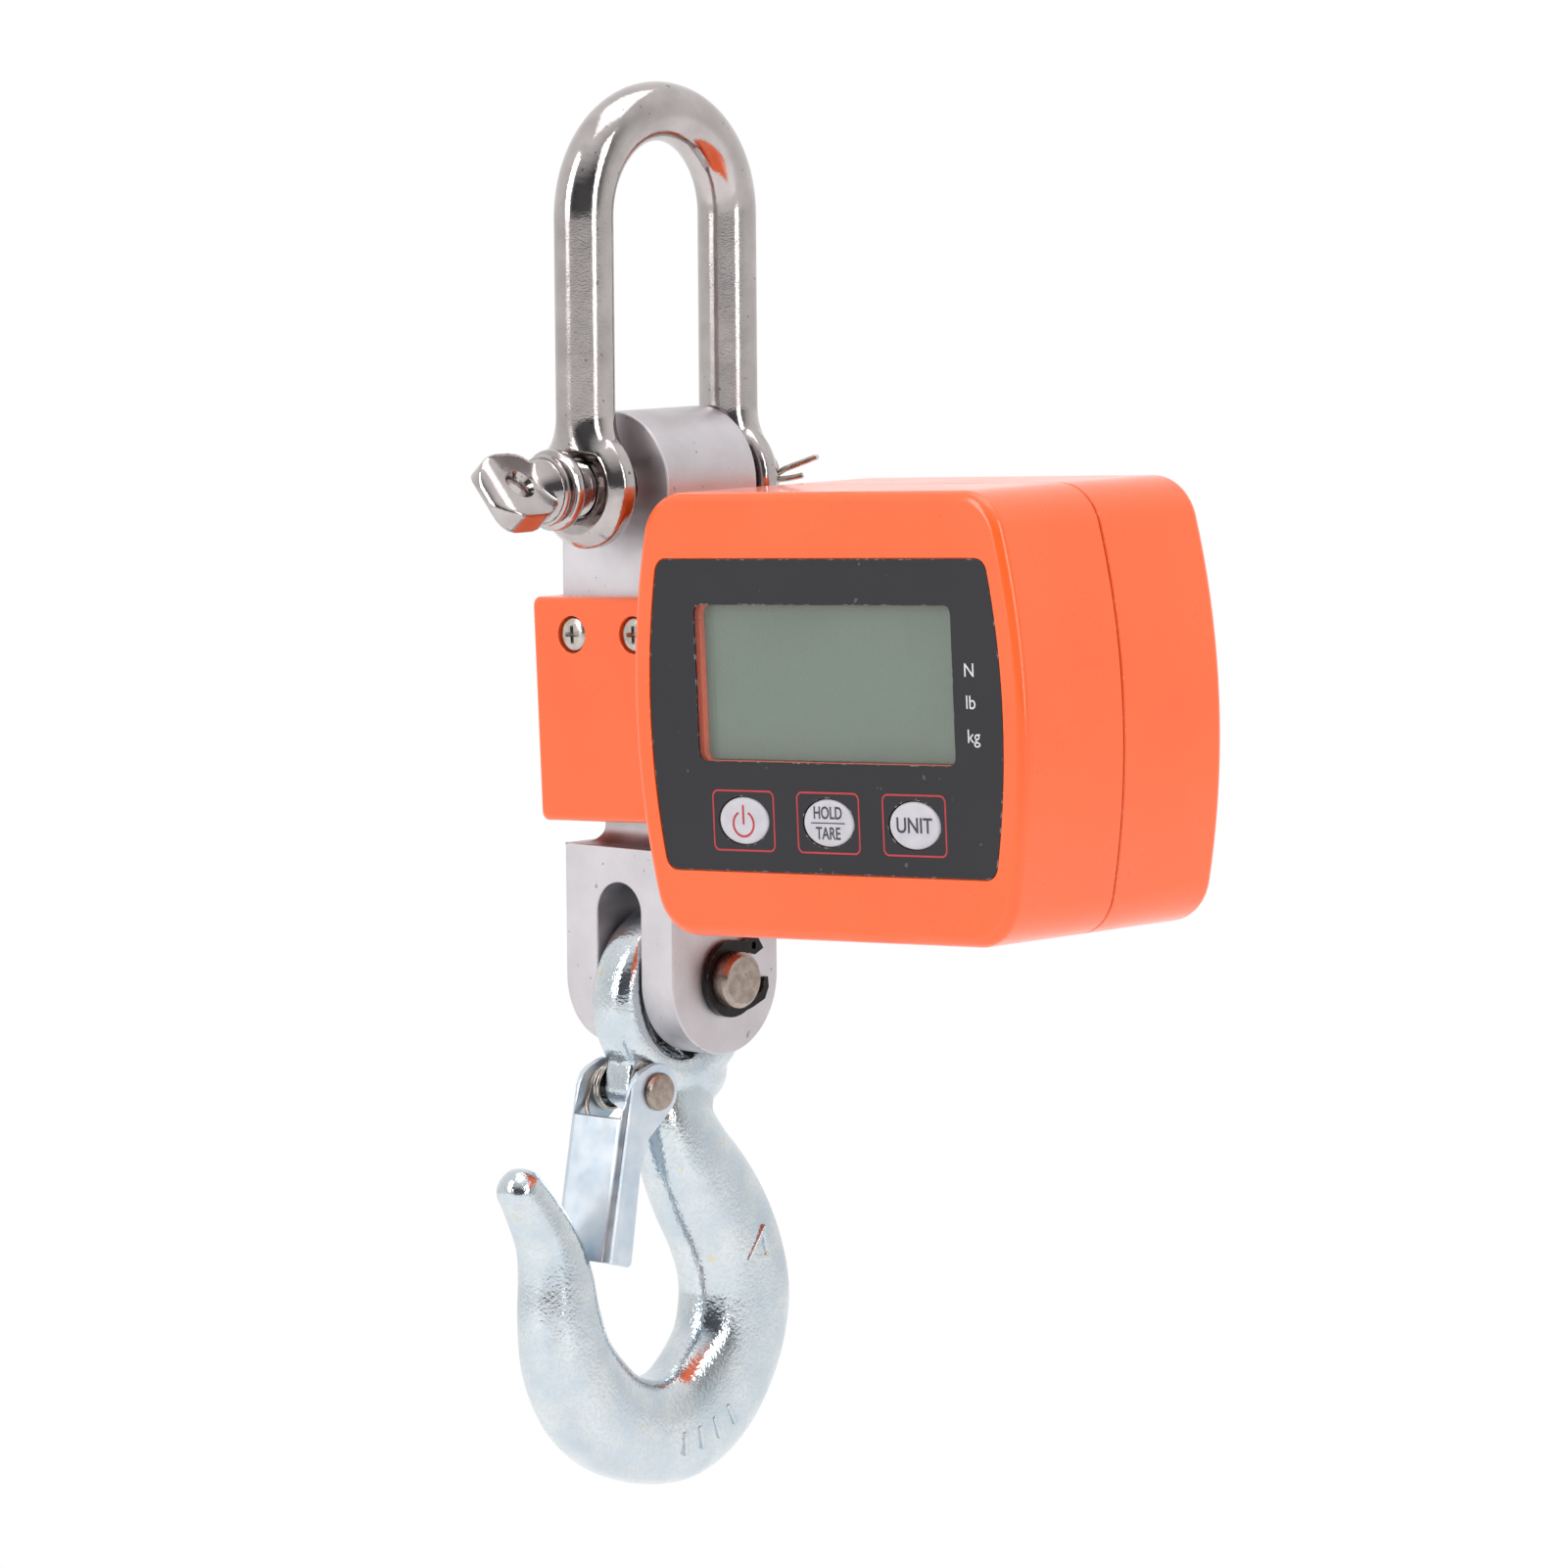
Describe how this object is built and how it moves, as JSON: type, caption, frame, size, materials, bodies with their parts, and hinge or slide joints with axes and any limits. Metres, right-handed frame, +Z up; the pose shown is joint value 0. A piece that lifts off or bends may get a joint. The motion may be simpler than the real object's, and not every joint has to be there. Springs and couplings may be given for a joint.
{
  "type": "hanging scale",
  "caption": "Hanging scale: polished shackle above, load-cell bar, orange display housing with keys on one side, and an eye hook with a sprung latch below.",
  "frame": {"origin": "inside crown of the shackle bow, where the support holds the scale", "axes": "+Z up along the load line, +X from the load line towards the display housing, -Y out of the display face"},
  "size_m": [0.1249, 0.0724, 0.2504],
  "materials": {
    "stainless": "highly polished stainless steel",
    "steel": "bright plated steel",
    "zinc": "zinc-plated forging, speckled satin",
    "aluminium": "bead-blasted satin",
    "paint": "orange, semi-gloss, slightly mottled",
    "panel": "dark grey satin film",
    "keycap": "pale satin",
    "window": "clear and thin",
    "screen": "grey-green, blank",
    "black": "moulded black",
    "clip": "blackened spring steel",
    "rubber": "soft black",
    "board": "solder-masked laminate",
    "cell_wrap": "printed wrap on a dry cell"
  },
  "bodies": {
    "shackle": {"shackle_bow": "stainless", "shackle_pin": "stainless", "split_pin": "steel"},
    "scale": {"cover_screw_1": "steel", "cover_screw_2": "steel", "cover_screw_3": "steel", "cover_screw_4": "steel", "housing_screw_1": "steel", "housing_screw_2": "steel", "housing_screw_3": "steel", "housing_screw_4": "steel", "side_screw_1": "steel", "side_screw_2": "steel", "side_screw_3": "steel", "side_screw_4": "steel", "board_screw_1": "steel", "board_screw_2": "steel", "board_screw_3": "steel", "board_screw_4": "steel", "contact_left_1": "steel", "contact_left_2": "steel", "contact_left_3": "steel", "contact_right_1": "steel", "contact_right_2": "steel", "contact_right_3": "steel", "hook_pin": "steel", "load_cell": "aluminium", "cover_front": "paint", "cover_rear": "paint", "housing_front": "paint", "housing_rear": "paint", "panel_overlay": "panel", "display_window": "window", "display_glass": "screen", "display_frame": "black", "key_switch_1": "black", "key_switch_2": "black", "key_switch_3": "black", "buzzer": "black", "battery_holder": "black", "retaining_clip_left": "clip", "retaining_clip_right": "clip", "housing_seal": "rubber", "gauge_cable": "rubber", "cable_grommet": "rubber", "strain_gauge_left": "board", "strain_gauge_right": "board", "main_board": "board", "battery_cell_1": "cell_wrap", "battery_cell_2": "cell_wrap", "battery_cell_3": "cell_wrap"},
    "hook": {"hook": "zinc", "latch_rivet": "steel"},
    "latch": {"latch": "zinc", "latch_spring": "steel"},
    "power_key": {"power_key": "keycap"},
    "hold_key": {"hold_key": "keycap"},
    "unit_key": {"unit_key": "keycap"},
    "battery_door": {"battery_door": "black"}
  },
  "joints": [
    {"name": "scale_swing", "type": "hinge", "parent": "shackle", "child": "scale", "pos_m": [0, 0, -0.0604], "axis": [0, 1, 0], "range_deg": [-70, 75]},
    {"name": "hook_swing", "type": "hinge", "parent": "scale", "child": "hook", "pos_m": [0, 0.0024, -0.15265], "axis": [1, 0, 0], "range_deg": [-55, 75]},
    {"name": "latch_pivot", "type": "hinge", "parent": "hook", "child": "latch", "pos_m": [0, -0.0088, -0.1679], "axis": [1, 0, 0], "range_deg": [0, 38], "stiffness_Nm_per_rad": 0.02, "springref_deg": -34.38},
    {"name": "power_key_press", "type": "slide", "parent": "scale", "child": "power_key", "axis": [0, 1, 0], "range_m": [0, 0.0004], "stiffness_N_per_m": 1500, "springref_m": -0.0002},
    {"name": "hold_key_press", "type": "slide", "parent": "scale", "child": "hold_key", "axis": [0, 1, 0], "range_m": [0, 0.0004], "stiffness_N_per_m": 1500, "springref_m": -0.0002},
    {"name": "unit_key_press", "type": "slide", "parent": "scale", "child": "unit_key", "axis": [0, 1, 0], "range_m": [0, 0.0004], "stiffness_N_per_m": 1500, "springref_m": -0.0002},
    {"name": "battery_door_hinge", "type": "hinge", "parent": "scale", "child": "battery_door", "pos_m": [0.06108, 0.02625, -0.07331], "axis": [0.999, 0, 0.0454], "range_deg": [0, 100]}
  ]
}
